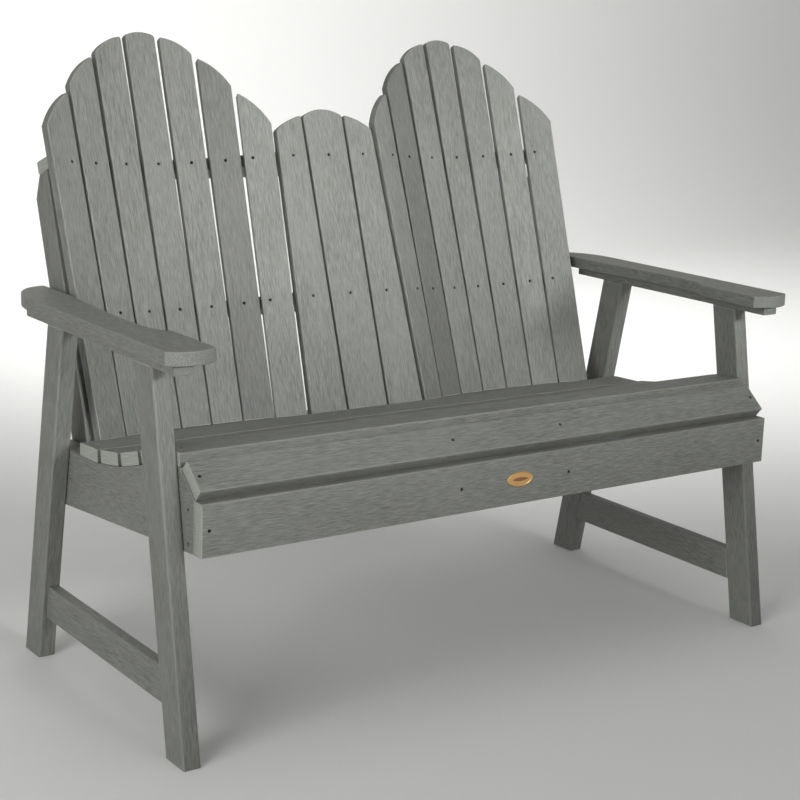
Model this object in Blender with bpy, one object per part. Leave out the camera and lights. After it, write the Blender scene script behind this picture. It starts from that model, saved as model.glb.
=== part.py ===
"""Garden bench of recycled-plastic lumber: two-arch slatted back, dished seat, paddle armrests.

Axes in metres: +X to the right of someone facing the front, +Y to the back, +Z up. Left and right in
the names are as seen from the front. The origin is on the ground under the middle of the bench.
Every board is its own object.
"""
import math

import bmesh
import bpy
from mathutils import Vector

# ---- driving dimensions (metres, degrees) ----
GAP = 0.0003                 # clearance left between two boards that touch
BOARD = 0.0205               # thickness of the thin boards
CENTRE_Y = 0.0056            # moves the side profile so that the bench is centred on the origin

LEG_OUTER_X = 0.583          # outer face of the legs
LEG_INNER_X = 0.5545         # inner face of the legs
LEG_WIDTH = 0.055            # leg stock, measured across the leg in side view
FRONT_FOOT_Y = -0.3604       # front edge of the front foot on the ground
REAR_FOOT_Y = 0.2057         # rear edge of the rear foot on the ground
FRONT_LEG_LEAN = 10.0        # the front leg leans back by this angle
REAR_LEG_LEAN = 10.9         # the rear leg leans forward by this angle
LEG_TOP_Z = 0.5662

STRETCHER_X = (0.5555, 0.5745)
STRETCHER_Z = (0.071, 0.128)

ARM_RAIL_X = (0.5545, 0.5852)
ARM_RAIL_Y = (-0.332, 0.170)
ARM_RAIL_Z = (0.5665, 0.5828)

ARM_Z = (0.5831, 0.6035)
ARM_OUTER_X = 0.6010
ARM_FRONT_Y = -0.3365        # corners of the paddle front
ARM_FRONT_BULGE = 0.0155     # how far the curved front stands out from its corners
ARM_REAR_Y = 0.228
ARM_REAR_ROUNDING = (0.066, 0.105)  # rounding of the outer rear corner: across, along
PADDLE_INNER_X = 0.5225
PADDLE_REAR_Y = -0.205
WAIST_INNER_X = 0.5450       # deepest point of the scooped inner edge
WAIST_Y = -0.125
ARM_HEEL_X = 0.5310          # inner edge behind the scoop
ARM_HEEL_Y = 0.105

STRINGER_X = (0.5202, 0.5542)
CENTRE_STRINGER_X = 0.107    # middle plane of the two centre stringers
CENTRE_STRINGER_THICKNESS = 0.0285
STRINGER_FRONT_Y = -0.3340
STRINGER_REAR_Y = 0.1450
STRINGER_FRONT_Z = 0.3085    # lower front corner
STRINGER_SLOPE = 0.0889      # fall of the lower edge per metre towards the back
STRINGER_HEEL_Z = 0.3637     # upper edge behind the seat

SEAT_HALF_LENGTH = 0.5540
# top face of each seat slat in side view: (front y, front z, rear y, rear z), front slat first
SEAT_SLATS = (
    (-0.2910, 0.4465, -0.2325, 0.4440),
    (-0.2225, 0.4412, -0.1660, 0.4216),
    (-0.1567, 0.4180, -0.0995, 0.4022),
    (-0.0895, 0.3998, -0.0300, 0.3906),
    (-0.0195, 0.3880, 0.0440, 0.3855),
)
REAR_BOARD_TOP = (0.0535, 0.3790)   # front upper edge of the wide rear seat board (y, z)
REAR_BOARD_TILT = 9.8
REAR_BOARD_WIDTH = 0.108
REAR_BOARD_HALF_LENGTH = 0.4990

NOSE_HALF_LENGTH = 0.5522
NOSE_MIDDLE = (-0.3272, 0.4206)     # middle of its sloping face (y, z)
NOSE_WIDTH = 0.054
NOSE_TILT = 40.0

APRON_HALF_LENGTH = 0.5535
APRON_FRONT_Y = -0.3548
APRON_Z = (0.3085, 0.3874)

BADGE_CENTRE = (0.006, 0.3498)      # x, z on the apron face
BADGE_HALF = (0.0255, 0.0122)
BADGE_THICKNESS = 0.0026

BLOCK_SIZE = (0.034, 0.034, 0.068)  # corner block between side stringer and apron

BACK_LEAN = 19.2             # lean of the back from the vertical
BACK_ORIGIN = (0.2600, 0.7921)      # (y, z) of the arch plane at the upper screw row
LOWER_ROW_S = -0.2493        # lower screw row, measured down the back
ARCH_X = 0.3116              # middle slat of each arch
ARCH_RADIUS = 0.480          # scoop radius at the upper screw row
ARCH_RADIUS_RATE = 0.0772    # growth of the scoop radius per metre up the back
ARCH_STEP = 7.2              # turn from one slat to the next
ARCH_LEAN = -0.0055          # sideways lean of each arch towards the middle, per metre
ARCH_SLAT_WIDTH = 0.0545
OUTER_SLAT_EXTRA = 0.0035    # the outermost slats are this much wider, on their outer side
BACK_SLAT = 0.0152           # thickness of the back slats, thinner than the other boards
# height of the slat tops above the upper screw row: (inner corner, outer corner), middle slat first
ARCH_TOPS = ((0.2235, 0.2235), (0.2195, 0.1925), (0.1805, 0.1345), (0.1150, 0.0625))
ARCH_TOP_BULGE = 0.0050
CENTRE_N = 0.0428            # the middle slats stand this far forward of the arch plane
MIDDLE_SLAT_HALF_WIDTH = 0.0400
FLANK_INNER_X = (0.0440, 0.0447)    # flanking slat, inner edge at bottom and top
FLANK_OUTER_X = (0.1165, 0.0982)    # flanking slat, outer edge at bottom and top
MIDDLE_TOPS = (0.0725, 0.0100)      # corner height of the middle slat, rise of its curve
FLANK_TOPS = (0.0712, 0.0475)       # inner and outer corner height of the flanking slats
FLANK_SPAN_S = (-0.460, 0.060)      # the two heights at which the flanking edges are given

RAIL_REAR_N = -0.078         # straight rear edge of the back rails
RAIL_END_N = -0.0140         # rear corner at the outer end of the rails
UPPER_RAIL_HALF_LENGTH = 0.5200
LOWER_RAIL_HALF_LENGTH = 0.4990

UPRIGHT_X = (0.4994, 0.5199)
UPRIGHT_N = (-0.0400, 0.0180)
UPRIGHT_FOOT_Z = 0.2720
UPRIGHT_CLIP = (0.0270, 0.0340)     # clipped rear top corner: across, down

# ---- helpers ----


def make_material(name, colour, roughness, metallic):
    """Principled material with one plain colour."""
    material = bpy.data.materials.new(name)
    material.use_nodes = True
    shader = material.node_tree.nodes["Principled BSDF"]
    shader.inputs["Base Color"].default_value = (*colour, 1.0)
    shader.inputs["Roughness"].default_value = roughness
    shader.inputs["Metallic"].default_value = metallic
    material.diffuse_color = (*colour, 1.0)
    return material


def add_board(name, bm, bevel):
    """Turn a bmesh into a named object with its own lumber material and rounded edges."""
    bmesh.ops.recalc_face_normals(bm, faces=bm.faces)
    mesh = bpy.data.meshes.new(name)
    bm.to_mesh(mesh)
    bm.free()
    board = bpy.data.objects.new(name, mesh)
    bpy.context.scene.collection.objects.link(board)
    board.data.materials.append(make_material(name, LUMBER, 0.55, 0.0))
    if bevel > 0.0:
        rounding = board.modifiers.new("rounded edges", "BEVEL")
        rounding.width = bevel
        rounding.segments = 2
        rounding.limit_method = "ANGLE"
        rounding.angle_limit = math.radians(35.0)
    return board


def prism_mesh(outline, place, depth):
    """Closed prism: the outline (pairs) swept from 0 to depth, put in space by place(a, b, c)."""
    bm = bmesh.new()
    near = [bm.verts.new(place(a, b, 0.0)) for a, b in outline]
    far = [bm.verts.new(place(a, b, depth)) for a, b in outline]
    count = len(outline)
    bm.faces.new(near)
    bm.faces.new(list(reversed(far)))
    for i in range(count):
        j = (i + 1) % count
        bm.faces.new((near[j], near[i], far[i], far[j]))
    return bm


def side_board(name, profile, x_range, side, bevel):
    """Board whose outline is a side-view profile of (y, z) pairs, between two distances from the middle."""
    low, high = x_range

    def place(y, z, c):
        return Vector((side * (low + c), y + CENTRE_Y, z))

    return add_board(name, prism_mesh(profile, place, high - low), bevel)


def cross_board(name, profile, half_length, bevel):
    """Board that runs the full width of the bench, with a side-view profile of (y, z) pairs."""

    def place(y, z, c):
        return Vector((c - half_length, y + CENTRE_Y, z))

    return add_board(name, prism_mesh(profile, place, 2.0 * half_length), bevel)


def plan_board(name, outline, z_range, side, bevel):
    """Flat board with a plan-view outline of (x, y) pairs."""
    low, high = z_range

    def place(x, y, c):
        return Vector((side * x, y + CENTRE_Y, low + c))

    return add_board(name, prism_mesh(outline, place, high - low), bevel)


def tilted_profile(front_y, front_z, rear_y, rear_z, thickness):
    """Side-view rectangle below the line from the front to the rear upper edge."""
    length = math.hypot(rear_y - front_y, rear_z - front_z)
    down_y = (rear_z - front_z) / length * thickness
    down_z = -(rear_y - front_y) / length * thickness
    return [
        (front_y, front_z),
        (front_y + down_y, front_z + down_z),
        (rear_y + down_y, rear_z + down_z),
        (rear_y, rear_z),
    ]


def arc_between(start, end, bulge, steps):
    """Points of a circular arc from start to end (both left out), standing out to the left by bulge."""
    chord = math.hypot(end[0] - start[0], end[1] - start[1])
    radius = (chord * chord / 4.0 + bulge * bulge) / (2.0 * bulge)
    along = ((end[0] - start[0]) / chord, (end[1] - start[1]) / chord)
    left = (-along[1], along[0])
    half = math.asin(min(1.0, chord / (2.0 * radius)))
    points = []
    for i in range(1, steps):
        angle = -half + 2.0 * half * i / steps
        u = chord / 2.0 + radius * math.sin(angle)
        v = radius * (math.cos(angle) - math.cos(half))
        points.append((start[0] + along[0] * u + left[0] * v, start[1] + along[1] * u + left[1] * v))
    return points


def back_point(x, n, s):
    """Point of the leaning back: x across, n forward of the arch plane, s up from the upper screw row."""
    lean = math.radians(BACK_LEAN)
    y = BACK_ORIGIN[0] + s * math.sin(lean) - n * math.cos(lean)
    z = BACK_ORIGIN[1] + s * math.cos(lean) + n * math.sin(lean)
    return Vector((x, y + CENTRE_Y, z))


def arch_line(k, s):
    """Middle of the front face of slat k of an arch at height s: x from the middle of the bench, and n."""
    radius = ARCH_RADIUS + ARCH_RADIUS_RATE * s
    turn = math.radians(ARCH_STEP * k)
    return ARCH_X + radius * math.sin(turn) + ARCH_LEAN * s, radius * (1.0 - math.cos(turn))


def cut_below(bm, point, normal):
    """Cut away what lies on the far side of a plane and close the cut."""
    parts = bm.verts[:] + bm.edges[:] + bm.faces[:]
    cut = bmesh.ops.bisect_plane(bm, geom=parts, plane_co=point, plane_no=normal, clear_outer=True)
    edges = [e for e in cut["geom_cut"] if isinstance(e, bmesh.types.BMEdge)]
    bmesh.ops.edgeloop_fill(bm, edges=edges)


LUMBER = (0.180, 0.190, 0.170)

for old in list(bpy.data.objects):
    bpy.data.objects.remove(old, do_unlink=True)

# ---- side frames: legs, stretcher, arm rail, armrest ----

front_slope = math.tan(math.radians(FRONT_LEG_LEAN))
rear_slope = math.tan(math.radians(REAR_LEG_LEAN))
front_width = LEG_WIDTH / math.cos(math.radians(FRONT_LEG_LEAN))
rear_width = LEG_WIDTH / math.cos(math.radians(REAR_LEG_LEAN))


def front_leg_y(z, rear_edge):
    """Front or rear edge of the front leg at height z."""
    return FRONT_FOOT_Y + front_slope * z + (front_width if rear_edge else 0.0)


def rear_leg_y(z, rear_edge):
    """Front or rear edge of the rear leg at height z."""
    return REAR_FOOT_Y - rear_slope * z - (0.0 if rear_edge else rear_width)


front_leg_profile = [
    (front_leg_y(0.0, False), 0.0),
    (front_leg_y(0.0, True), 0.0),
    (front_leg_y(LEG_TOP_Z, True), LEG_TOP_Z),
    (front_leg_y(LEG_TOP_Z, False), LEG_TOP_Z),
]
rear_leg_profile = [
    (rear_leg_y(0.0, False), 0.0),
    (rear_leg_y(0.0, True), 0.0),
    (rear_leg_y(LEG_TOP_Z, True), LEG_TOP_Z),
    (rear_leg_y(LEG_TOP_Z, False), LEG_TOP_Z),
]
stretcher_profile = [
    (front_leg_y(STRETCHER_Z[0], True) + GAP, STRETCHER_Z[0]),
    (rear_leg_y(STRETCHER_Z[0], False) - GAP, STRETCHER_Z[0]),
    (rear_leg_y(STRETCHER_Z[1], False) - GAP, STRETCHER_Z[1]),
    (front_leg_y(STRETCHER_Z[1], True) + GAP, STRETCHER_Z[1]),
]
arm_rail_outline = [
    (ARM_RAIL_X[0], ARM_RAIL_Y[0]),
    (ARM_RAIL_X[1], ARM_RAIL_Y[0]),
    (ARM_RAIL_X[1], ARM_RAIL_Y[1]),
    (ARM_RAIL_X[0], ARM_RAIL_Y[1]),
]


def armrest_outline():
    """Plan of an armrest: curved paddle front, straight outer edge, rounded heel, scooped inner edge."""
    points = [(PADDLE_INNER_X, ARM_FRONT_Y)]
    front = arc_between((ARM_OUTER_X, ARM_FRONT_Y), (PADDLE_INNER_X, ARM_FRONT_Y), ARM_FRONT_BULGE, 10)
    points += list(reversed(front))
    points.append((ARM_OUTER_X, ARM_FRONT_Y))
    across, along = ARM_REAR_ROUNDING
    for i in range(13):
        angle = math.radians(90.0 * i / 12)
        x = ARM_OUTER_X - across + across * math.cos(angle)
        y = ARM_REAR_Y - along + along * math.sin(angle)
        points.append((x, y))
    points.append((ARM_HEEL_X, ARM_REAR_Y))
    points.append((ARM_HEEL_X, ARM_HEEL_Y))
    for i in range(1, 12):
        t = i / 12
        y = ARM_HEEL_Y + (WAIST_Y - ARM_HEEL_Y) * t
        x = ARM_HEEL_X + (WAIST_INNER_X - ARM_HEEL_X) * math.sin(0.5 * math.pi * t)
        points.append((x, y))
    for i in range(0, 9):
        angle = math.radians(90.0 * i / 8)
        x = PADDLE_INNER_X + (WAIST_INNER_X - PADDLE_INNER_X) * math.cos(angle)
        y = WAIST_Y + (PADDLE_REAR_Y - WAIST_Y) * math.sin(angle)
        points.append((x, y))
    return points


for side, word in ((-1.0, "left"), (1.0, "right")):
    side_board("front_leg_" + word, front_leg_profile, (LEG_INNER_X, LEG_OUTER_X), side, 0.003)
    side_board("rear_leg_" + word, rear_leg_profile, (LEG_INNER_X, LEG_OUTER_X), side, 0.003)
    side_board("stretcher_" + word, stretcher_profile, STRETCHER_X, side, 0.0025)
    plan_board("arm_rail_" + word, arm_rail_outline, ARM_RAIL_Z, side, 0.002)
    plan_board("armrest_" + word, armrest_outline(), ARM_Z, side, 0.0025)

# ---- seat: stringers, slats, nose board, apron, badge ----


def nose_corners():
    """Side-view rectangle of the nose board: upper rear, upper front, lower front, lower rear."""
    tilt = math.radians(NOSE_TILT)
    along = (-math.cos(tilt) * NOSE_WIDTH / 2.0, -math.sin(tilt) * NOSE_WIDTH / 2.0)
    inward = (math.sin(tilt) * BOARD, -math.cos(tilt) * BOARD)
    y, z = NOSE_MIDDLE
    return [
        (y - along[0], z - along[1]),
        (y + along[0], z + along[1]),
        (y + along[0] + inward[0], z + along[1] + inward[1]),
        (y - along[0] + inward[0], z - along[1] + inward[1]),
    ]


def stringer_bottom(y):
    """Height of the straight lower edge of a stringer."""
    return STRINGER_FRONT_Z - STRINGER_SLOPE * (y - STRINGER_FRONT_Y)


def seat_bearing():
    """Upper edge of a stringer under the nose board and the seat slats, front to rear."""
    tilt = math.radians(NOSE_TILT)
    corners = nose_corners()
    lower_front, lower_rear = corners[2], corners[3]
    slope = math.tan(tilt)
    drop = GAP / math.cos(tilt)
    points = [(STRINGER_FRONT_Y, lower_front[1] + slope * (STRINGER_FRONT_Y - lower_front[0]) - drop)]
    points.append((lower_rear[0], lower_rear[1] - drop))
    for front_y, front_z, rear_y, rear_z in SEAT_SLATS:
        profile = tilted_profile(front_y, front_z, rear_y, rear_z, BOARD + GAP)
        points.append(profile[1])
        points.append(profile[2])
    return points


bearing = seat_bearing()
side_profile = [(STRINGER_FRONT_Y, STRINGER_FRONT_Z), (STRINGER_REAR_Y, stringer_bottom(STRINGER_REAR_Y))]
side_profile += [(STRINGER_REAR_Y, STRINGER_HEEL_Z)]
side_profile += [(bearing[-1][0] + 0.012, STRINGER_HEEL_Z)]
side_profile += list(reversed(bearing))

board_tilt = math.radians(REAR_BOARD_TILT)
rear_board_rear = (
    REAR_BOARD_TOP[0] + REAR_BOARD_WIDTH * math.cos(board_tilt),
    REAR_BOARD_TOP[1] - REAR_BOARD_WIDTH * math.sin(board_tilt),
)
rear_board_profile = tilted_profile(*REAR_BOARD_TOP, *rear_board_rear, BOARD)
rear_bearing = tilted_profile(*REAR_BOARD_TOP, *rear_board_rear, BOARD + GAP)
centre_rear_y = rear_bearing[2][0] - 0.004
centre_rear_z = rear_bearing[2][1] + math.tan(board_tilt) * 0.004
centre_profile = [(STRINGER_FRONT_Y, STRINGER_FRONT_Z), (centre_rear_y, stringer_bottom(centre_rear_y))]
centre_profile += [(centre_rear_y, centre_rear_z), rear_bearing[1]]
centre_profile += list(reversed(bearing))

for side, word in ((-1.0, "left"), (1.0, "right")):
    side_board("seat_stringer_" + word, side_profile, STRINGER_X, side, 0.002)
    half = CENTRE_STRINGER_THICKNESS / 2.0
    centre_range = (CENTRE_STRINGER_X - half, CENTRE_STRINGER_X + half)
    side_board("centre_stringer_" + word, centre_profile, centre_range, side, 0.002)
    block_rear = STRINGER_FRONT_Y + GAP + BLOCK_SIZE[1]
    block_low = STRINGER_FRONT_Z + 0.002
    block_profile = [
        (STRINGER_FRONT_Y + GAP, block_low),
        (block_rear, block_low),
        (block_rear, block_low + BLOCK_SIZE[2]),
        (STRINGER_FRONT_Y + GAP, block_low + BLOCK_SIZE[2]),
    ]
    block_range = (STRINGER_X[0] - GAP - BLOCK_SIZE[0], STRINGER_X[0] - GAP)
    side_board("corner_block_" + word, block_profile, block_range, side, 0.0015)

for number, slat in enumerate(SEAT_SLATS, start=1):
    cross_board("seat_slat_%d" % number, tilted_profile(*slat, BOARD), SEAT_HALF_LENGTH, 0.0025)
cross_board("seat_rear_board", rear_board_profile, REAR_BOARD_HALF_LENGTH, 0.002)
cross_board("seat_nose_board", nose_corners(), NOSE_HALF_LENGTH, 0.0025)
apron_profile = [
    (APRON_FRONT_Y, APRON_Z[0]),
    (APRON_FRONT_Y + BOARD, APRON_Z[0]),
    (APRON_FRONT_Y + BOARD, APRON_Z[1]),
    (APRON_FRONT_Y, APRON_Z[1]),
]
cross_board("front_apron", apron_profile, APRON_HALF_LENGTH, 0.0025)


def badge_place(x, z, c):
    """The badge lies on the apron face and is built towards the front."""
    return Vector((BADGE_CENTRE[0] + x, APRON_FRONT_Y + CENTRE_Y - GAP - c, BADGE_CENTRE[1] + z))


oval = []
for i in range(40):
    angle = 2.0 * math.pi * i / 40
    oval.append((BADGE_HALF[0] * math.cos(angle), BADGE_HALF[1] * math.sin(angle)))
badge = add_board("apron_badge", prism_mesh(oval, badge_place, BADGE_THICKNESS), 0.0006)
badge.data.materials[0] = make_material("badge_brass", (0.42, 0.30, 0.13), 0.35, 1.0)

# ---- back: uprights, two rails, seventeen slats ----

lean = math.radians(BACK_LEAN)
board_normal = Vector((0.0, math.sin(board_tilt), math.cos(board_tilt)))
board_point = Vector((0.0, REAR_BOARD_TOP[0] + CENTRE_Y, REAR_BOARD_TOP[1])) + board_normal * GAP
SLAT_FOOT_S = -0.470         # slats are made this long and then cut to stand on the rear board


def back_slat(name, outline, origin, across, up):
    """Slat with an outline of (across, up) pairs on its front face, made to stand on the rear seat board."""
    forward = up.cross(across).normalized()
    if forward.y > 0.0:
        forward = -forward

    def place(a, b, c):
        return origin + across * a + up * b - forward * c

    bm = prism_mesh(outline, place, BACK_SLAT)
    cut_below(bm, board_point, -board_normal)
    return add_board(name, bm, 0.0022)


def slat_outline(left, right, left_top, right_top, bulge):
    """Slat outline: edges given as (bottom, top) offsets at the foot and at the top, arched top edge."""
    corner = 0.004
    foot_s = SLAT_FOOT_S
    points = [(left[0], foot_s), (right[0], foot_s), (right[1], right_top - corner)]
    left_shoulder = (left[1] + corner * 0.6, left_top)
    right_shoulder = (right[1] - corner * 0.6, right_top)
    points.append(right_shoulder)
    points += list(reversed(arc_between(left_shoulder, right_shoulder, bulge, 8)))
    points.append(left_shoulder)
    points.append((left[1], left_top - corner))
    return points


def mirrored(vector, side):
    return Vector((side * vector.x, vector.y, vector.z))


def arch_slat(name, k, side):
    """Slat k of an arch, from the inner (-3) to the outer (3) one."""
    x0, n0 = arch_line(k, 0.0)
    x1, n1 = arch_line(k, 0.1)
    origin = back_point(x0, n0, 0.0)
    up = (back_point(x1, n1, 0.1) - origin).normalized()
    turn = math.radians(ARCH_STEP * k)
    across = back_point(math.cos(turn), math.sin(turn), 0.0) - back_point(0.0, 0.0, 0.0)
    across = (across - up * across.dot(up)).normalized()
    inner_top, outer_top = ARCH_TOPS[abs(k)]
    low_top, high_top = (inner_top, outer_top) if k >= 0 else (outer_top, inner_top)
    half = ARCH_SLAT_WIDTH / 2.0
    outer = half + (OUTER_SLAT_EXTRA if k == 3 else 0.0)
    outline = slat_outline((-half, -half), (outer, outer), low_top, high_top, ARCH_TOP_BULGE)
    return back_slat(name, outline, mirrored(origin, side), mirrored(across, side), mirrored(up, side))


def centre_slat(name, outline):
    """Slat of the flat middle part; the outline is given in bench x."""
    origin = back_point(0.0, CENTRE_N, 0.0)
    up = (back_point(0.0, CENTRE_N, 1.0) - origin).normalized()
    return back_slat(name, outline, origin, Vector((1.0, 0.0, 0.0)), up)


def flank_edge(edge, s):
    """Sideways position of a flanking edge at height s, given at two heights."""
    low, high = FLANK_SPAN_S
    return edge[0] + (edge[1] - edge[0]) * (s - low) / (high - low)


for k in range(3, -4, -1):
    arch_slat("back_slat_%02d" % (4 - k), k, -1.0)
    arch_slat("back_slat_%02d" % (14 + k), k, 1.0)

inner = (flank_edge(FLANK_INNER_X, SLAT_FOOT_S), flank_edge(FLANK_INNER_X, FLANK_TOPS[0]))
outer = (flank_edge(FLANK_OUTER_X, SLAT_FOOT_S), flank_edge(FLANK_OUTER_X, FLANK_TOPS[1]))
right_flank = slat_outline(inner, outer, FLANK_TOPS[0], FLANK_TOPS[1], 0.003)
left_flank = [(-x, s) for x, s in reversed(right_flank)]
half = MIDDLE_SLAT_HALF_WIDTH
middle = slat_outline((-half, -half), (half, half), MIDDLE_TOPS[0], MIDDLE_TOPS[0], MIDDLE_TOPS[1])
centre_slat("back_slat_08", left_flank)
centre_slat("back_slat_09", middle)
centre_slat("back_slat_10", right_flank)


def facet_cross(first, second):
    """Crossing of two lines, each given as (point, direction)."""
    (px, pn), (dx, dn) = first
    (qx, qn), (ex, en) = second
    t = ((qx - px) * en - (qn - pn) * ex) / (dx * en - dn * ex)
    return (px + dx * t, pn + dn * t)


def rail_front(s, half_length):
    """Front edge of a back rail, right half, from the middle outwards: one facet behind each slat."""
    lines = [((0.0, CENTRE_N - BACK_SLAT - GAP), (1.0, 0.0))]
    for k in range(-3, 4):
        x, n = arch_line(k, s)
        turn = math.radians(ARCH_STEP * k)
        behind = BACK_SLAT + GAP
        point = (x + math.sin(turn) * behind, n - math.cos(turn) * behind)
        lines.append((point, (math.cos(turn), math.sin(turn))))
    lines.append(((half_length, 0.0), (0.0, 1.0)))
    return [facet_cross(lines[i], lines[i + 1]) for i in range(len(lines) - 1)]


def rail_rear(half_length):
    """Rear edge of a back rail, right half, from the outer end inwards: curved, then straight."""
    run = UPPER_RAIL_HALF_LENGTH - ARCH_X
    rise = RAIL_END_N - RAIL_REAR_N
    radius = (run * run + rise * rise) / (2.0 * rise)
    points = []
    reach = half_length - ARCH_X
    for i in range(9, -1, -1):
        u = reach * i / 9
        points.append((ARCH_X + u, RAIL_REAR_N + radius - math.sqrt(radius * radius - u * u)))
    return points


def back_rail(name, s, half_length):
    """Back rail: board square to the back, scooped behind the two arches."""
    right = rail_front(s, half_length) + rail_rear(half_length)
    left = [(-x, n) for x, n in reversed(right)]
    outline = right + left

    def place(x, n, c):
        return back_point(x, n, s - BOARD / 2.0 + c)

    return add_board(name, prism_mesh(outline, place, BOARD), 0.002)


back_rail("back_rail_upper", 0.0, UPPER_RAIL_HALF_LENGTH)
back_rail("back_rail_lower", LOWER_ROW_S, LOWER_RAIL_HALF_LENGTH)


def upright_s(n, z):
    """Height along the back at which a point n forward has the height z."""
    return (z - BACK_ORIGIN[1] - n * math.sin(lean)) / math.cos(lean)


rear_n, front_n = UPRIGHT_N
top_s = -BOARD / 2.0 - GAP
upright_outline = [
    (front_n, upright_s(front_n, UPRIGHT_FOOT_Z)),
    (front_n, top_s),
    (rear_n + UPRIGHT_CLIP[0], top_s),
    (rear_n, top_s - UPRIGHT_CLIP[1]),
    (rear_n, upright_s(rear_n, UPRIGHT_FOOT_Z)),
]
for side, word in ((-1.0, "left"), (1.0, "right")):

    def place(n, s, c, side=side):
        return back_point(side * (UPRIGHT_X[0] + c), n, s)

    bm = prism_mesh(upright_outline, place, UPRIGHT_X[1] - UPRIGHT_X[0])
    add_board("back_upright_" + word, bm, 0.0025)
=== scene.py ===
"""Garden bench of recycled-plastic lumber: fine boards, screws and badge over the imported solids."""

import math

import bpy
import numpy as np
from mathutils import Matrix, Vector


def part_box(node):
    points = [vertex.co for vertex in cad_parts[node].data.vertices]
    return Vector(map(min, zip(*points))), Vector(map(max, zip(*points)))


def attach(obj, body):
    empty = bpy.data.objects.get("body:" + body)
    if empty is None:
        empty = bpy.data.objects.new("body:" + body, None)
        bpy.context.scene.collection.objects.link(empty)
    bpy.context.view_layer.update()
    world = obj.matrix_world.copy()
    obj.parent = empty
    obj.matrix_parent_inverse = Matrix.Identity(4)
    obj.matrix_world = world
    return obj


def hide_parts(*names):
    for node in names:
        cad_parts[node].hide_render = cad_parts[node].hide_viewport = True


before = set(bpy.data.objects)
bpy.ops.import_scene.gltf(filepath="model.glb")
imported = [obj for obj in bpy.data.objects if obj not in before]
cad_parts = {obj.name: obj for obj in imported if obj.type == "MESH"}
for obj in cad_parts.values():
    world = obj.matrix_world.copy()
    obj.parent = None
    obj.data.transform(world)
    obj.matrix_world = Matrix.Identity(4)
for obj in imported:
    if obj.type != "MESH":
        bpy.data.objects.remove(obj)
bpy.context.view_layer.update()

# ---- legs ----
# Four splayed legs of 28 mm recycled-plastic lumber, sawn level at the foot and under the arm rail.
# The board is extruded high-density polyethylene with a wire-brushed grain; its long edges are run
# round with a cutter, and the saw leaves the cut ends paler and flatter than the brushed faces.


def linear(hex_colour):
    """sRGB hex to linear RGBA: each channel over 255, then ((c + 0.055) / 1.055) to the power 2.4."""
    channels = [int(hex_colour[i : i + 2], 16) / 255.0 for i in (1, 3, 5)]
    return (*[((c + 0.055) / 1.055) ** 2.4 if c > 0.04045 else c / 12.92 for c in channels], 1.0)


def add_node(tree, kind, inputs, **settings):
    """Add a node with its settings; each input is given a value, or is linked if it is a socket."""
    node = tree.nodes.new(kind)
    for name, value in settings.items():
        setattr(node, name, value)
    for key, value in inputs.items():
        if isinstance(value, bpy.types.NodeSocket):
            tree.links.new(value, node.inputs[key])
        else:
            node.inputs[key].default_value = value
    return node


def grain_noise(tree, place, size, detail):
    """Noise whose cells measure size (along, across, through) metres in the board's own coordinates."""
    scale = tuple(1.0 / length for length in size)
    stretched = add_node(tree, "ShaderNodeMapping", {"Vector": place, "Scale": scale})
    settings = {"Vector": stretched.outputs[0], "Scale": 1.0, "Detail": detail, "Roughness": 0.6}
    return add_node(tree, "ShaderNodeTexNoise", settings).outputs[0]


def spread(tree, value, to_low=0.0, to_high=1.0, low=0.30, high=0.70):
    """Stretch the useful middle of a noise, low to high, over to_low to to_high."""
    inputs = {0: value, 1: low, 2: high, 3: to_low, 4: to_high}
    return add_node(tree, "ShaderNodeMapRange", inputs).outputs[0]


def blend_colour(tree, factor, first, second):
    """Colour that runs from first to second as factor runs from 0 to 1."""
    node = add_node(tree, "ShaderNodeMix", {0: factor, 6: first, 7: second}, data_type="RGBA")
    return node.outputs[2]


def raise_surface(tree, shader, height, strength, depth):
    """Let a height from 0 to 1 stand out of the surface as a relief of this depth in metres."""
    bump = {"Height": height, "Strength": strength, "Distance": depth}
    tree.links.new(add_node(tree, "ShaderNodeBump", bump).outputs[0], shader.inputs["Normal"])


def new_material(name):
    """Empty node material: its tree and its Principled shader."""
    material = bpy.data.materials.new(name)
    material.use_nodes = True
    return material, material.node_tree, material.node_tree.nodes["Principled BSDF"]


LUMBER_DARK = "#595b56"                # brushed grooves
LUMBER_LIGHT = "#888a85"               # ridges between the grooves
LUMBER_EDGE_HIGHLIGHT = "#878984"                # painted highlight along the rounded edges
LUMBER_ROUGHNESS = (0.62, 0.50)        # in a scratch and on the ridge beside it
POLYETHYLENE_IOR = 1.5
STREAK_SIZE = (0.022, 0.0016, 0.0016)  # one brushed streak along, across and through the board (m)
FIBRE_SIZE = (0.009, 0.0010, 0.0010)   # the finest scratches that still show
CLOUD_SIZE = (0.210, 0.070, 0.070)     # slow drift of the melt's colour
CLOUD_SHARE = 0.35                     # most that the drift lightens the grooves
EDGE_HIGHLIGHT_SHARE = 0.35                   # how far a rounded edge takes the painted highlight colour
SCRATCH_SHARE = 0.35                   # a scratch's height against a groove's
GROOVE_DEPTH = 0.0005
GROOVE_STRENGTH = 0.7


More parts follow.
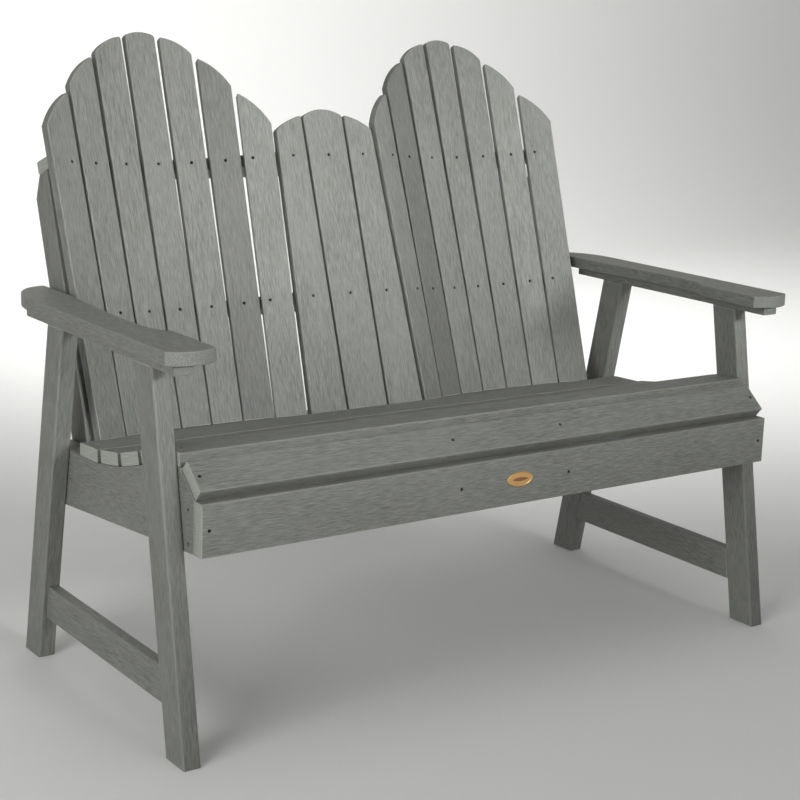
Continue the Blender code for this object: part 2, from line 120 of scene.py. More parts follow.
def brushed_lumber():
    """Polyethylene lumber, wire brushed: long low grooves, fine scratches, slow clouding, matt sheen,
    painted edge highlight.
    """
    material, tree, shader = new_material("brushed recycled-plastic lumber")
    place = add_node(tree, "ShaderNodeAttribute", {}, attribute_name="board").outputs["Vector"]
    edge = add_node(tree, "ShaderNodeAttribute", {}, attribute_name="rounding").outputs["Fac"]
    shade = add_node(tree, "ShaderNodeAttribute", {}, attribute_name="shade").outputs["Fac"]
    fibre = grain_noise(tree, place, FIBRE_SIZE, 2.0)
    ridge = spread(tree, grain_noise(tree, place, STREAK_SIZE, 3.0))
    scratch = spread(tree, fibre)
    drift = spread(tree, grain_noise(tree, place, CLOUD_SIZE, 2.0), to_high=CLOUD_SHARE)
    grooved = blend_colour(tree, ridge, linear(LUMBER_DARK), linear(LUMBER_LIGHT))
    clouded = blend_colour(tree, drift, grooved, linear(LUMBER_LIGHT))
    # Painted highlight: the colour on the rounded edges is blended towards a paler one.
    painted_edge_highlight = add_node(tree, "ShaderNodeMath", {0: edge, 1: EDGE_HIGHLIGHT_SHARE}, operation="MULTIPLY")
    colour = blend_colour(tree, painted_edge_highlight.outputs[0], clouded, linear(LUMBER_EDGE_HIGHLIGHT))
    # Scaled by the board's shade: its own tone, on some back slats partly painted light and shade.
    tone_and_painted_light = add_node(tree, "ShaderNodeVectorMath", {0: colour, "Scale": shade}, operation="SCALE")
    tree.links.new(tone_and_painted_light.outputs[0], shader.inputs["Base Color"])
    tree.links.new(spread(tree, fibre, *LUMBER_ROUGHNESS), shader.inputs["Roughness"])
    shader.inputs["IOR"].default_value = POLYETHYLENE_IOR
    relief = {0: scratch, 1: SCRATCH_SHARE, 2: ridge}
    height = add_node(tree, "ShaderNodeMath", relief, operation="MULTIPLY_ADD").outputs[0]
    raise_surface(tree, shader, height, GROOVE_STRENGTH, GROOVE_DEPTH)
    return material


SAWN_DARK = "#8f918b"
SAWN_LIGHT = "#b0b2ac"
SAWN_ROUGHNESS = 0.72
KERF_SIZE = (0.02, 0.030, 0.0011)   # one mark of the saw's teeth, across the cut end
PORE_SIZE = (0.02, 0.0018, 0.0018)  # bubbles in the plastic, cut open
KERF_DEPTH = 0.0002
KERF_STRENGTH = 0.5


def sawn_lumber():
    """The same plastic where the saw went through: paler, flat, with fine cross marks and pores."""
    material, tree, shader = new_material("sawn recycled-plastic lumber")
    place = add_node(tree, "ShaderNodeAttribute", {}, attribute_name="board").outputs["Vector"]
    mark = spread(tree, grain_noise(tree, place, KERF_SIZE, 2.0))
    pore = spread(tree, grain_noise(tree, place, PORE_SIZE, 3.0), low=0.25, high=0.60)
    pale = blend_colour(tree, mark, linear(SAWN_DARK), linear(SAWN_LIGHT))
    tree.links.new(blend_colour(tree, pore, linear(SAWN_DARK), pale), shader.inputs["Base Color"])
    shader.inputs["Roughness"].default_value = SAWN_ROUGHNESS
    shader.inputs["IOR"].default_value = POLYETHYLENE_IOR
    raise_surface(tree, shader, mark, KERF_STRENGTH, KERF_DEPTH)
    return material


LUMBER = brushed_lumber()
SAWN = sawn_lumber()


def unit(vector):
    """The vector at length 1."""
    return np.asarray(vector, float) / np.linalg.norm(vector)


def unit_rows(rows):
    """Each row at length 1."""
    return rows / np.linalg.norm(rows, axis=1)[:, None]


PARALLEL = 0.9995     # least cosine between faces that look the same way
SQUARE = 0.02         # greatest cosine between faces at right angles
LEVEL = 1e-5          # points this close in depth lie on one face (m)
STRAIGHT = 0.002      # greatest sine of the turn at a point that is no corner


def main_direction(normal, area):
    """The direction, either way round, that the most area faces: the mean normal of that area."""
    alike = normal @ normal.T
    best = np.argmax((np.abs(alike) > PARALLEL) @ area)
    same = np.where(np.abs(alike[best]) > PARALLEL, np.sign(alike[best]), 0.0)
    return unit((normal * (same * area)[:, None]).sum(axis=0))


def mesh_points(mesh):
    """A mesh's points as an (n, 3) array."""
    points = np.empty(len(mesh.vertices) * 3, np.float32)
    mesh.vertices.foreach_get("co", points)
    return points.reshape(-1, 3)


def read_board(name, facing):
    """A board's own axes and outline, read off its solid.

    The broad face's normal is the direction with the most area, turned to look towards facing; the
    long edges' normal is the direction with the most area at right angles to it. The outline is the
    border of the broad face, from corner to corner, in distances along and across the board.
    """
    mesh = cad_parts[name].data
    mesh.calc_loop_triangles()
    points = mesh_points(mesh).astype(float)
    triangles = np.empty(len(mesh.loop_triangles) * 3, np.int32)
    mesh.loop_triangles.foreach_get("vertices", triangles)
    triangles = triangles.reshape(-1, 3)
    a, b, c = points[triangles].transpose(1, 0, 2)
    cross = np.cross(b - a, c - a)
    area = np.linalg.norm(cross, axis=1)
    normal = cross / np.maximum(area, 1e-12)[:, None]
    out = main_direction(normal, area)
    out = out * (1.0 if out @ unit(facing) > 0.0 else -1.0)
    on_edge = np.abs(normal @ out) < SQUARE
    side = main_direction(normal[on_edge], area[on_edge])
    side = unit(side - out * (side @ out))
    along = np.cross(side, out)
    if along[np.argmax(np.abs(along))] < 0.0:
        along, side = -along, -side
    axes = np.array([along, side, out])
    local = points @ axes.T
    low, high = local.min(axis=0), local.max(axis=0)

    _, first, corner = np.unique(np.round(points, 5), axis=0, return_index=True, return_inverse=True)
    corner = corner.ravel()[triangles]
    on_face = (normal @ out > PARALLEL) & (local[triangles][:, :, 2].min(axis=1) > high[2] - LEVEL)
    start = corner[on_face].ravel()
    end = np.roll(corner[on_face], -1, axis=1).ravel()
    border = ~np.isin(start * len(first) + end, end * len(first) + start)
    follow = dict(zip(start[border], end[border]))
    walk = [start[border][0]]
    while follow[walk[-1]] != walk[0]:
        walk.append(follow[walk[-1]])
    outline = local[first[walk]][:, :2]
    before = unit_rows(outline - np.roll(outline, 1, axis=0))
    after = np.roll(before, -1, axis=0)
    turning = np.abs(before[:, 0] * after[:, 1] - before[:, 1] * after[:, 0]) > STRAIGHT
    outline = outline[turning]
    back = local[local[:, 2] < low[2] + LEVEL]
    front = local[local[:, 2] > high[2] - LEVEL]
    return {
        "axes": axes,
        "low": low,
        "high": high,
        "outline": outline,
        "inset": high[1] - outline[:, 1].max(),
        "slant": (back[:, 0].min() - front[:, 0].min(), back[:, 0].max() - front[:, 0].max()),
    }


SAWN_EASE = 0.0007        # a sawn edge is only eased
ROUNDING_STEPS = 7        # points on the quarter turn of a rounded edge
ROUNDING_LAND = 0.0004    # flat ring past the end of the rounding
FACE_MARGIN = 0.0005      # a broad face starts this far inside its edge
SHARP = 0.05              # least sine of the turn where two moved edges are made to meet
END_FACING = 0.9          # least cosine between a sawn end's normal and the board's length


def board_surface(board, rounding, back_rounding, sawn):
    """Rounded board: the rounded-edge profile carried round the outline.

    At depth d below a face an edge of radius r stands in by r - sqrt(r^2 - (r - d)^2), and by
    nothing past d = r; the back's edges may have their own radius. Each ring of the grid is the
    outline with every edge moved by its own inset; a corner is where its two moved edges meet, the
    x with n1 . x = move1 and n2 . x = move2.
    """
    outline = board["outline"]
    edge = np.roll(outline, -1, axis=0) - outline
    n2 = unit_rows(np.column_stack([edge[:, 1], -edge[:, 0]]))
    n1 = np.roll(n2, 1, axis=0)
    ends = np.zeros(len(outline), int)
    if "low" in sawn:
        ends[n2[:, 0] < -END_FACING] = -1
    if "high" in sawn:
        ends[n2[:, 0] > END_FACING] = 1
    thick = board["high"][2] - board["low"][2]
    sunk = 1.0 - np.cos(np.radians(np.linspace(0.0, 90.0, ROUNDING_STEPS)))
    front = np.concatenate([[0.0], rounding * sunk, [rounding + ROUNDING_LAND]])
    back = np.concatenate([[0.0], back_rounding * sunk, [back_rounding + ROUNDING_LAND]])
    depth = np.concatenate([front, thick - back[::-1]])
    near = np.minimum(depth, thick - depth)[:, None]
    face_radius = np.where(depth < thick / 2.0, rounding, back_rounding)[:, None]
    radius = np.where(ends == 0, face_radius, SAWN_EASE)
    inside = np.clip(radius - near, 0.0, None)
    inset = radius - np.sqrt(radius**2 - inside**2)
    inset[[0, -1]] += FACE_MARGIN
    slant = np.where(ends < 0, -board["slant"][0], np.where(ends > 0, board["slant"][1], 0.0))
    move = board["inset"] - inset + slant * (depth / thick)[:, None]
    before = np.roll(move, 1, axis=1)
    det = n1[:, 0] * n2[:, 1] - n1[:, 1] * n2[:, 0]
    sharp = np.abs(det) > SHARP
    safe = np.where(sharp, det, 1.0)
    corner_u = (before * n2[:, 1] - move * n1[:, 1]) / safe
    corner_v = (move * n1[:, 0] - before * n2[:, 0]) / safe
    mean = (n1 + n2) / 2.0
    gentle = (before + move) / 2.0 / (mean**2).sum(axis=1)
    ring_u = outline[:, 0] + np.where(sharp, corner_u, gentle * mean[:, 0])
    ring_v = outline[:, 1] + np.where(sharp, corner_v, gentle * mean[:, 1])
    ring_w = np.broadcast_to((board["high"][2] - depth)[:, None], ring_u.shape)
    local = np.stack([ring_u, ring_v, ring_w], axis=2)
    curved = np.broadcast_to((near > 0.0) & (near < face_radius * 0.999), ring_u.shape)
    return local, curved, ends


def skin_faces(rings, count):
    """Faces of a closed skin of rings of count points: quads between rings, a lid over each end."""
    row = np.arange(rings - 1)[:, None] * count
    here = np.arange(count)[None, :]
    there = (here + 1) % count
    quads = np.stack([row + here, row + count + here, row + count + there, row + there], axis=2)
    last = rings * count
    lids = [list(range(count)), list(range(last - 1, last - count - 1, -1))]
    return [*quads.reshape(-1, 4).tolist(), *lids]


SMOOTH_ANGLE = 40.0       # faces that meet at more than this show a crease (degrees)


def add_piece(name, points, faces, materials, face_material=None, smooth_angle=SMOOTH_ANGLE):
    """Mesh object at the origin from arrays, smooth except where faces meet at more than smooth_angle."""
    mesh = bpy.data.meshes.new(name)
    mesh.from_pydata(points, [], faces)
    for material in materials:
        mesh.materials.append(material)
    if face_material is not None:
        mesh.polygons.foreach_set("material_index", face_material)
    mesh.polygons.foreach_set("use_smooth", np.ones(len(mesh.polygons), bool))
    mesh.set_sharp_from_angle(angle=math.radians(smooth_angle))
    piece = bpy.data.objects.new(name, mesh)
    bpy.context.scene.collection.objects.link(piece)
    return piece


GRAIN_STEP = (0.731, 0.177, 0.113)  # from one board's stretch of grain to the next one's


def lay_grain(board):
    """Store each point's place in its board's own coordinates, moved so that no two boards match.

    The board's shade is stored beside it: its own tone, on some back slats partly painted light and shade.
    """
    mesh = board["piece"].data
    middle = (board["low"] + board["high"]) / 2.0
    grain = mesh_points(mesh) @ board["axes"].T - middle + board["grain_start"]
    store = mesh.attributes.get("board") or mesh.attributes.new("board", "FLOAT_VECTOR", "POINT")
    store.data.foreach_set("vector", grain.astype(np.float32).ravel())
    store = mesh.attributes.get("shade") or mesh.attributes.new("shade", "FLOAT", "POINT")
    store.data.foreach_set("value", np.full(len(mesh.vertices), board["shade"], np.float32))


def lumber_board(name, facing, rounding, sawn=("low", "high"), back_rounding=None, shade=1.0):
    """Replace a solid by its fine board: rounded edges, its own grain, and paler sawn ends."""
    board = read_board(name, facing)
    local, curved, ends = board_surface(board, rounding, back_rounding or rounding, sawn)
    rings, count = local.shape[:2]
    points = local.reshape(-1, 3) @ board["axes"]
    face_material = np.append(np.tile(np.abs(ends), rings - 1), [0, 0]).astype(np.int32)
    piece = add_piece("fine_" + name, points, skin_faces(rings, count), [LUMBER, SAWN], face_material)
    board["piece"] = piece
    board["shade"] = shade
    board["grain_start"] = sorted(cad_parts).index(name) * np.array(GRAIN_STEP)
    lay_grain(board)
    # Mask of the rounded edges, where the lumber gets its painted highlight.
    store = piece.data.attributes.new("rounding", "FLOAT", "POINT")
    store.data.foreach_set("value", curved.ravel().astype(float))
    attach(piece, "root")
    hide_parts(name)
    return board


LEG_ROUNDING = 0.0036

for side, word in ((-1, "left"), (1, "right")):
    lumber_board("front_leg_" + word, (side, 0, 0), LEG_ROUNDING)
    lumber_board("rear_leg_" + word, (side, 0, 0), LEG_ROUNDING)

# ---- stretchers ----
# A low board between the front and the rear leg of each side keeps the splayed legs from spreading.
# Same lumber, 19 mm thick, cut to the leans of the legs and let in between them.

STRETCHER_ROUNDING = 0.0030

for side, word in ((-1, "left"), (1, "right")):
    lumber_board("stretcher_" + word, (side, 0, 0), STRETCHER_ROUNDING)

# ---- armrests ----
# Each armrest is one sawn paddle: curved front, scooped inner edge, rounded heel, all edges run
# round. A narrow rail under it ties the two legs together and takes its screws from below.

ARM_ROUNDING = 0.0016
ARM_RAIL_ROUNDING = 0.0022

for side, word in ((-1, "left"), (1, "right")):
    lumber_board("arm_rail_" + word, (0, 0, -1), ARM_RAIL_ROUNDING, sawn=())
    lumber_board("armrest_" + word, (0, 0, 1), ARM_ROUNDING, sawn=())

# ---- seat frame ----
# Stringers on edge carry the seat: one inside each pair of legs and two near the middle, with the
# dish of the seat sawn into their upper edges. A small block holds each end of the apron.

STRINGER_ROUNDING = 0.0020
BLOCK_ROUNDING = 0.0015
BLOCK_SCREW_Y = -0.3104
BLOCK_SCREW_Z = (0.3703, 0.3207)

PIT_RADIUS = 0.0029           # the plastic closes round the sunk head and leaves a small dark pit
PIT_DEPTH = 0.0034
PIT_SIDES = 20
CUTTER_TOP = 0.0010           # the cutter stands this far out of the face

screws = []                   # place and axes of every pit, for the screw heads


def pit_cutter():
    """Upright cylinder of the pit's radius, from over the face to the pit's floor, as two rings."""
    angle = np.linspace(0.0, 2.0 * math.pi, PIT_SIDES, endpoint=False)
    x, y = PIT_RADIUS * np.cos(angle), PIT_RADIUS * np.sin(angle)
    return np.concatenate([np.column_stack([x, y, np.full(PIT_SIDES, z)]) for z in (CUTTER_TOP, -PIT_DEPTH)])


def copies(surface, faces, seats):
    """One copy of an (n, 3) surface at each seat: a place, and axes to lay its x, y and z along."""
    points = np.concatenate([surface @ axes + place for place, axes in seats])
    shift = len(surface)
    all_faces = [[v + i * shift for v in face] for i in range(len(seats)) for face in faces]
    return points, all_faces


def drill(board, places):
    """Cut a pit at each place in the board's show face, and note the places for the screw heads."""
    seats = [(place, board["axes"]) for place in places]
    points, faces = copies(pit_cutter(), skin_faces(2, PIT_SIDES), seats)
    cutter = add_piece("cutter", points, faces, [])
    piece = board["piece"]
    cut = piece.modifiers.new("screw pits", "BOOLEAN")
    cut.operation = "DIFFERENCE"
    cut.object = cutter
    graph = bpy.context.evaluated_depsgraph_get()
    old, name = piece.data, piece.data.name
    piece.data = bpy.data.meshes.new_from_object(piece.evaluated_get(graph))
    piece.modifiers.clear()
    bpy.data.objects.remove(cutter)
    bpy.data.meshes.remove(old)
    piece.data.name = name
    piece.data.set_sharp_from_angle(angle=math.radians(SMOOTH_ANGLE))
    lay_grain(board)
    screws.extend(seats)


def face_point(board, world_point):
    """Point of the show face straight over a world point: the same place along and across the board."""
    local = board["axes"] @ np.asarray(world_point, float)
    local[2] = board["high"][2]
    return local @ board["axes"]


for side, word in ((-1, "left"), (1, "right")):
    stringer = lumber_board("seat_stringer_" + word, (side, 0, 0), STRINGER_ROUNDING)
    drill(stringer, [face_point(stringer, (0.0, BLOCK_SCREW_Y, z)) for z in BLOCK_SCREW_Z])
    lumber_board("centre_stringer_" + word, (side, 0, 0), STRINGER_ROUNDING)
    lumber_board("corner_block_" + word, (-side, 0, 0), BLOCK_ROUNDING)

# ---- seat ----
# Five slats lie across the stringers in a shallow dish, and a wider board behind them carries the
# feet of the back slats. Each is screwed down into every stringer through a countersunk hole.

SEAT_ROUNDING = 0.0024
REAR_BOARD_ROUNDING = 0.0025
CENTRE_SCREW_X = 0.107        # over the middle of the centre stringers
SIDE_SCREW_X = 0.5372         # over the middle of the side stringers


def across_bench(board, distances):
    """Points on the middle of a cross board's show face, at these distances each side of the middle."""
    middle = (board["low"] + board["high"]) / 2.0 @ board["axes"]
    return [face_point(board, middle + (side * x, 0.0, 0.0)) for x in distances for side in (-1, 1)]


for number in range(1, 6):
    slat = lumber_board("seat_slat_%d" % number, (0, 0, 1), SEAT_ROUNDING)
    drill(slat, across_bench(slat, (CENTRE_SCREW_X, SIDE_SCREW_X)))
lumber_board("seat_rear_board", (0, 0, 1), REAR_BOARD_ROUNDING)

# ---- nose board and apron ----
# The nose board slopes down from the front slat to ease the knees; the deep apron under it hides
# the stringers' ends. Both show their brushed face and four sunk screws, and pale sawn ends.

NOSE_SCREW_X = 0.5425
APRON_SCREW_X = 0.5414
HIDDEN_EASE = 0.00015         # the edges that meet behind are left almost square

nose = lumber_board("seat_nose_board", (0, -1, 0), SEAT_ROUNDING, back_rounding=HIDDEN_EASE)
drill(nose, across_bench(nose, (CENTRE_SCREW_X, NOSE_SCREW_X)))
apron = lumber_board("front_apron", (0, -1, 0), SEAT_ROUNDING, back_rounding=HIDDEN_EASE)
drill(apron, across_bench(apron, (CENTRE_SCREW_X, APRON_SCREW_X)))

# ---- badge ----
# A small domed oval plate of satin brass, pressed with a raised rim and pinned to the apron. The
# middle carries only a plain lens-shaped bar in red-brown enamel.

BRASS = "#e0b678"
BRASS_METALLIC = 0.75     # the lacquer over it takes part of the metal's look away
BRASS_ROUGHNESS = (0.36, 0.50)
BRUSHING_SIZE = (0.004, 0.002, 0.0003)
BRUSHING_DEPTH = 0.00005
BRUSHING_STRENGTH = 0.25


def satin_brass():
    """Pressed brass, satin brushed and lacquered: warm metal with a soft, slightly uneven gloss."""
    material, tree, shader = new_material("satin brass")
    place = add_node(tree, "ShaderNodeTexCoord", {}).outputs["Object"]
    brushing = grain_noise(tree, place, BRUSHING_SIZE, 2.0)
    shader.inputs["Base Color"].default_value = linear(BRASS)
    shader.inputs["Metallic"].default_value = BRASS_METALLIC
    tree.links.new(spread(tree, brushing, *BRASS_ROUGHNESS), shader.inputs["Roughness"])
    raise_surface(tree, shader, brushing, BRUSHING_STRENGTH, BRUSHING_DEPTH)
    return material


ENAMEL = "#8f5a3c"
ENAMEL_ROUGHNESS = (0.30, 0.42)
ENAMEL_RIPPLE = (0.003, 0.003, 0.003)


def brown_enamel():
    """Stoved enamel paint: one even colour, smooth, slightly uneven gloss."""
    material, tree, shader = new_material("red-brown enamel")
    place = add_node(tree, "ShaderNodeTexCoord", {}).outputs["Object"]
    shader.inputs["Base Color"].default_value = linear(ENAMEL)
    uneven = grain_noise(tree, place, ENAMEL_RIPPLE, 1.0)
    tree.links.new(spread(tree, uneven, *ENAMEL_ROUGHNESS), shader.inputs["Roughness"])
    return material


PLATE_SHARES = (0.0, 0.06, 0.50)  # back, edge and land of the plate, in shares of the thickness
RIM_RISE = 0.42
RIM_START = 0.86          # share of the radius where the rim starts
DOME_RISE = 0.30
DOME_EDGE = 0.84          # share of the radius where the dome ends
BADGE_CREASE = 70.0


def badge_surface(low, high, rings, sides):
    """Oval plate: radius share t runs from 1 at the back edge to 0 at the middle of the dome.

    Height = land + rim rise * sin(180 degrees * r) + dome rise * d, in shares of the thickness. r
    runs from 0 where the rim starts to 1 at the edge, and d = 1 - (t / dome edge)^2 inside the
    dome. The two other coordinates are the half axes times t times the cosine and the sine.
    """
    t = np.concatenate([[0.98, 1.0, 1.0], 1.0 - 0.98 * np.linspace(0.0, 1.0, rings) ** 0.8])
    rim = np.clip((t - RIM_START) / (1.0 - RIM_START), 0.0, 1.0)
    dome = np.clip(1.0 - (t / DOME_EDGE) ** 2, 0.0, None)
    height = PLATE_SHARES[2] + RIM_RISE * np.sin(math.pi * rim) + DOME_RISE * dome
    height[:3] = PLATE_SHARES
    height *= high[1] - low[1]
    angle = np.linspace(0.0, 2.0 * math.pi, sides, endpoint=False)
    centre, half = (low + high) / 2.0, (high - low) / 2.0
    x = centre[0] + half[0] * t[:, None] * np.cos(angle)
    z = centre[2] + half[2] * t[:, None] * np.sin(angle)
    y = np.broadcast_to(high[1] - height[:, None], x.shape)
    return np.stack([x, y, z], axis=2)


BAR_LENGTH = 0.60         # share of the badge's length
BAR_HEIGHT = 0.26         # share of the badge's height
BAR_FRONT = 0.86          # share of the thickness at the middle, and what the ends lose of it
BAR_FALL = 0.14
BAR_BACK = 0.45
BAR_TIP = 0.00005         # half height left at the two tips
BAR_LIP = 0.00022         # the bar's edges are rounded over by this


def lens_bar(low, high, steps):
    """Lens-shaped bar on the dome: half height h0 * cos(u) ^ 0.7 as u runs from -90 to 90 degrees.

    Its front follows the dome: it falls back from the middle with the square of u.
    """
    u = np.linspace(-1.0, 1.0, steps)
    thick = high[1] - low[1]
    centre, half = (low + high) / 2.0, (high - low) / 2.0
    x = centre[0] + half[0] * BAR_LENGTH * u
    tall = half[2] * BAR_HEIGHT * np.cos(u * math.pi / 2.0) ** 0.7 + BAR_TIP
    front = high[1] - thick * (BAR_FRONT - BAR_FALL * u**2)
    back = np.full(steps, high[1] - thick * BAR_BACK)
    upper, lower = centre[2] + tall, centre[2] - tall
    rows = [(back, lower), (front + BAR_LIP, lower), (front, lower + BAR_LIP * 0.6)]
    rows += [(front, upper - BAR_LIP * 0.6), (front + BAR_LIP, upper), (back, upper)]
    return np.stack([np.stack([x, y, z], axis=1) for y, z in rows], axis=1)


low, high = (np.array(corner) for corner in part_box("apron_badge"))
oval = badge_surface(low, high, 22, 96)
oval_faces = skin_faces(*oval.shape[:2])
badge = add_piece("badge_plate", oval.reshape(-1, 3), oval_faces, [satin_brass()], smooth_angle=BADGE_CREASE)
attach(badge, "root")
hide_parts("apron_badge")

bar = lens_bar(low, high, 33)
enamel = add_piece("badge_bar", bar.reshape(-1, 3), skin_faces(*bar.shape[:2]), [brown_enamel()])
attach(enamel, "root")

# ---- back frame ----
# Two rails cross behind the slats, their front edges sawn to the facets of the two arches, and an
# upright under each end of the upper rail carries the back down to the seat frame.

BACK_RAIL_ROUNDING = 0.0022
UPRIGHT_ROUNDING = 0.0025

upper_rail = lumber_board("back_rail_upper", (0, 0, 1), BACK_RAIL_ROUNDING)
lower_rail = lumber_board("back_rail_lower", (0, 0, 1), BACK_RAIL_ROUNDING)
for side, word in ((-1, "left"), (1, "right")):
    lumber_board("back_upright_" + word, (side, 0, 0), UPRIGHT_ROUNDING)

# ---- back slats ----
# Seventeen slats stand side by side: seven in each scooped arch and three wider ones between. The
# tops are sawn to the arch and run round with the edges; one screw holds each slat to each rail.

SLAT_ROUNDING = 0.0022
END_SCREW_SHIFT = 0.012       # the arch's outermost slats are screwed nearer its middle
ARCH_ENDS = {1: 1, 7: -1, 11: 1, 17: -1}
# Darker or lighter slats: partly the boards' own tone, partly painted light and shade.
SLAT_SHADES = {6: 0.80, 7: 1.14, 8: 1.10, 9: 1.10, 10: 1.10, 12: 0.76, 16: 1.14, 17: 1.08}


def slat_screws(slat, shift):
    """One point per rail: where the slat's middle line crosses the middle plane of the rail."""
    places = []
    u, v = slat["outline"].T
    u_next, v_next = np.roll(u, -1), np.roll(v, -1)
    along, across = slat["axes"][:2]
    for rail in (upper_rail, lower_rail):
        normal = rail["axes"][2]
        level = (rail["low"][2] + rail["high"][2]) / 2.0
        start = np.array([0.0, (slat["low"][1] + slat["high"][1]) / 2.0, slat["high"][2]]) @ slat["axes"]
        reach = (level - normal @ start) / (normal @ along)
        crossing = (u - reach) * (u_next - reach) < 0.0
        share = (reach - u[crossing]) / (u_next[crossing] - u[crossing])
        middle = (v[crossing] + share * (v_next[crossing] - v[crossing])).mean()
        point = np.array([reach, middle, slat["high"][2]]) @ slat["axes"]
        places.append(point + across * np.sign(across[0]) * shift)
    return places


for number in range(1, 18):
    shade = SLAT_SHADES.get(number, 1.0)
    slat = lumber_board("back_slat_%02d" % number, (0, -1, 0), SLAT_ROUNDING, sawn=("low",), shade=shade)
    drill(slat, slat_screws(slat, END_SCREW_SHIFT * ARCH_ENDS.get(number, 0)))

# ---- screws ----
# Small coated-steel countersunk screws with a cross drive, sunk below the face so that only a dark
# pit shows. Every pit drilled above gets one head.

SCREW_STEEL = "#1d1e20"
STEEL_METALLIC = 0.6
STEEL_ROUGHNESS = (0.45, 0.65)
PATCH_SIZE = (0.0015, 0.0015, 0.0015)
HEAD_RADIUS = PIT_RADIUS * 0.96
HEAD_TOP = 0.0020             # top of the head below the face
HEAD_CROWN = 0.0003
HEAD_BOTTOM = PIT_DEPTH - 0.0002
CROSS_HALF_WIDTH = 0.16       # of the drive's arms, in shares of the head's radius
CROSS_REACH = 0.6
CROSS_DEPTH = 0.0009
HEAD_CREASE = 35.0


def coated_steel():
    """Dark ceramic-coated steel: dull, low gloss, slightly patchy."""
    material, tree, shader = new_material("coated screw steel")
    place = add_node(tree, "ShaderNodeTexCoord", {}).outputs["Object"]
    patch = grain_noise(tree, place, PATCH_SIZE, 2.0)
    shader.inputs["Base Color"].default_value = linear(SCREW_STEEL)
    shader.inputs["Metallic"].default_value = STEEL_METALLIC
    tree.links.new(spread(tree, patch, *STEEL_ROUGHNESS), shader.inputs["Roughness"])
    return material


def screw_head(rings, sides):
    """Screw head: a low dome, its height falling with the square of the radius, less a cross recess.

    The recess is cut where the point is near either arm of the cross, that is where the smaller of
    |x| and |y| is under the arm's half width, and the radius is under the arm's reach.
    """
    t = np.append(np.linspace(0.04, 1.0, rings), [1.0])[:, None]
    angle = np.linspace(0.0, 2.0 * math.pi, sides, endpoint=False)
    x, y = t * np.cos(angle), t * np.sin(angle)
    in_arm = np.minimum(np.abs(x), np.abs(y)) < CROSS_HALF_WIDTH
    recess = (in_arm & (t < CROSS_REACH)) * CROSS_DEPTH
    height = -HEAD_TOP - HEAD_CROWN * t**2 - recess
    height[-1] = -HEAD_BOTTOM
    return np.stack([x * HEAD_RADIUS, y * HEAD_RADIUS, height], axis=2)[::-1]


head = screw_head(9, 32)
points, faces = copies(head.reshape(-1, 3), skin_faces(*head.shape[:2]), screws)
heads = add_piece("screw_heads", points, faces, [coated_steel()], smooth_angle=HEAD_CREASE)
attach(heads, "root")

# ---- studio ----
# Pale sweep; a large soft light low on the left, a flagged strip in front that favours the back of
# the bench, a weak soft top, a light of its own for the paper behind, and a weak pale surround.

PAPER_COLOUR = "#f4f4f2"
PAPER_ROUGHNESS = 0.9
PAPER_SPECULAR = 0.2


def studio_paper():
    """Matt white studio paper."""
    material, _, shader = new_material("studio paper")
    shader.inputs["Base Color"].default_value = linear(PAPER_COLOUR)
    shader.inputs["Roughness"].default_value = PAPER_ROUGHNESS
    shader.inputs["Specular IOR Level"].default_value = PAPER_SPECULAR
    return material


SWEEP_FRONT = -9.0
SWEEP_START = 3.5             # where the paper starts to bend up
SWEEP_RADIUS = 1.5
SWEEP_TOP = 6.0
SWEEP_HALF_WIDTH = 9.0
SWEEP_DROP = 0.0005           # the paper lies just under the feet


def sweep_surface():
    """Paper sweep, left edge then right: flat on the ground, a quarter circle, then a wall."""
    bend = np.radians(np.linspace(0.0, 90.0, 24))
    bend_y = SWEEP_START + SWEEP_RADIUS * np.sin(bend)
    bend_z = SWEEP_RADIUS * (1.0 - np.cos(bend))
    y = np.concatenate([[SWEEP_FRONT], bend_y, [SWEEP_START + SWEEP_RADIUS]])
    z = np.concatenate([[0.0], bend_z, [SWEEP_TOP]]) - SWEEP_DROP
    left = np.column_stack([np.full(len(y), -SWEEP_HALF_WIDTH), y, z])
    right = np.column_stack([np.full(len(y), SWEEP_HALF_WIDTH), y, z])
    return np.concatenate([left, right])


sweep = sweep_surface()
count = len(sweep) // 2
here = np.arange(count - 1)
strips = np.stack([here, count + here, count + here + 1, here + 1], axis=1)
floor = add_piece("studio_floor", sweep, strips.tolist(), [studio_paper()])


def placed(right, up, back, place):
    """Matrix that lays an object's x, y and z along right, up and back, with its origin at place."""
    matrix = np.eye(4)
    matrix[:3] = np.column_stack([right, up, back, place])
    return Matrix(matrix.tolist())


def aim(yaw, pitch, roll, place):
    """Camera matrix: forward from yaw and pitch, right level, then both turned about forward by roll."""
    yaw, pitch, roll = (math.radians(a) for a in (yaw, pitch, roll))
    level = math.cos(pitch)
    forward = np.array([-math.sin(yaw) * level, math.cos(yaw) * level, math.sin(pitch)])
    right = np.array([math.cos(yaw), math.sin(yaw), 0.0])
    up = np.cross(right, forward)
    rolled_right = math.cos(roll) * right + math.sin(roll) * up
    rolled_up = -math.sin(roll) * right + math.cos(roll) * up
    return placed(rolled_right, rolled_up, -forward, place)


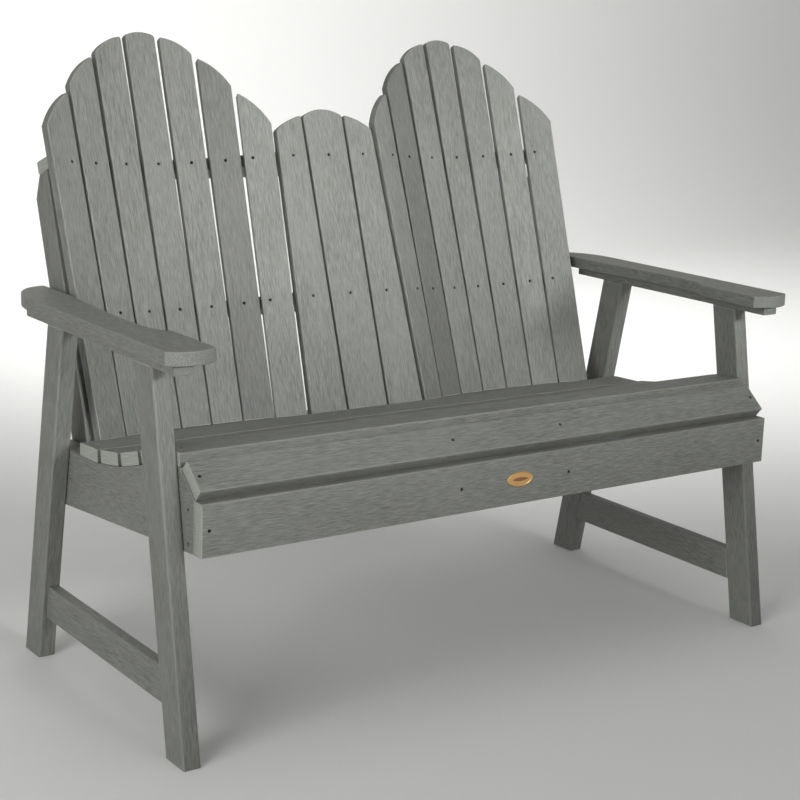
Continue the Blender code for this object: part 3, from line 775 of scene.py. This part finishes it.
def area_light(name, place, target, size, power, spread_angle=180.0):
    """Rectangular white soft light at a place, looking at a target; its grid narrows the spread."""
    data = bpy.data.lights.new(name, "AREA")
    data.shape = "RECTANGLE"
    data.size, data.size_y = size
    data.energy = power
    data.spread = math.radians(spread_angle)
    light = bpy.data.objects.new(name, data)
    bpy.context.scene.collection.objects.link(light)
    back = unit(np.subtract(place, target))
    right = unit(np.cross((0.0, 0.0, 1.0), back))
    light.matrix_world = placed(right, np.cross(back, right), back, place)


CAMERA_PLACE = (-1.6337, -2.3796, 1.0693)
CAMERA_YAW = -37.578
CAMERA_PITCH = -12.543
CAMERA_ROLL = 2.424
CAMERA_SENSOR = 36.0          # width of the sensor and length of the lens (mm)
CAMERA_LENS = 77.2
CAMERA_SHIFT = (-0.1056, -0.0111)

camera_data = bpy.data.cameras.new("camera")
camera_data.sensor_width = CAMERA_SENSOR
camera_data.lens = CAMERA_LENS
camera_data.shift_x, camera_data.shift_y = CAMERA_SHIFT
camera = bpy.data.objects.new("camera", camera_data)
bpy.context.scene.collection.objects.link(camera)
camera.matrix_world = aim(CAMERA_YAW, CAMERA_PITCH, CAMERA_ROLL, CAMERA_PLACE)
bpy.context.scene.camera = camera

area_light("left softbox", (-3.546, -1.653, 1.382), (0.0, 0.0, 0.55), (2.0, 1.6), power=64.0)
area_light(
    "front strip", (0.597, -2.903, 1.376), (0.05, 0.20, 0.82), (2.2, 0.3), power=6.7, spread_angle=34.0
)
area_light("top", (0.3, -0.3, 4.0), (0.0, 0.0, 0.4), (3.0, 3.0), power=18.0)
area_light("paper light", (1.2, 1.6, 2.6), (3.6, 4.6, 0.4), (3.0, 1.5), power=110.0)

SURROUND_STRENGTH = 0.25

world = bpy.data.worlds.new("surround")
bpy.context.scene.world = world
world.use_nodes = True
world.node_tree.nodes["Background"].inputs["Color"].default_value = linear("#ffffff")
world.node_tree.nodes["Background"].inputs["Strength"].default_value = SURROUND_STRENGTH
bpy.context.scene.view_settings.view_transform = "Standard"
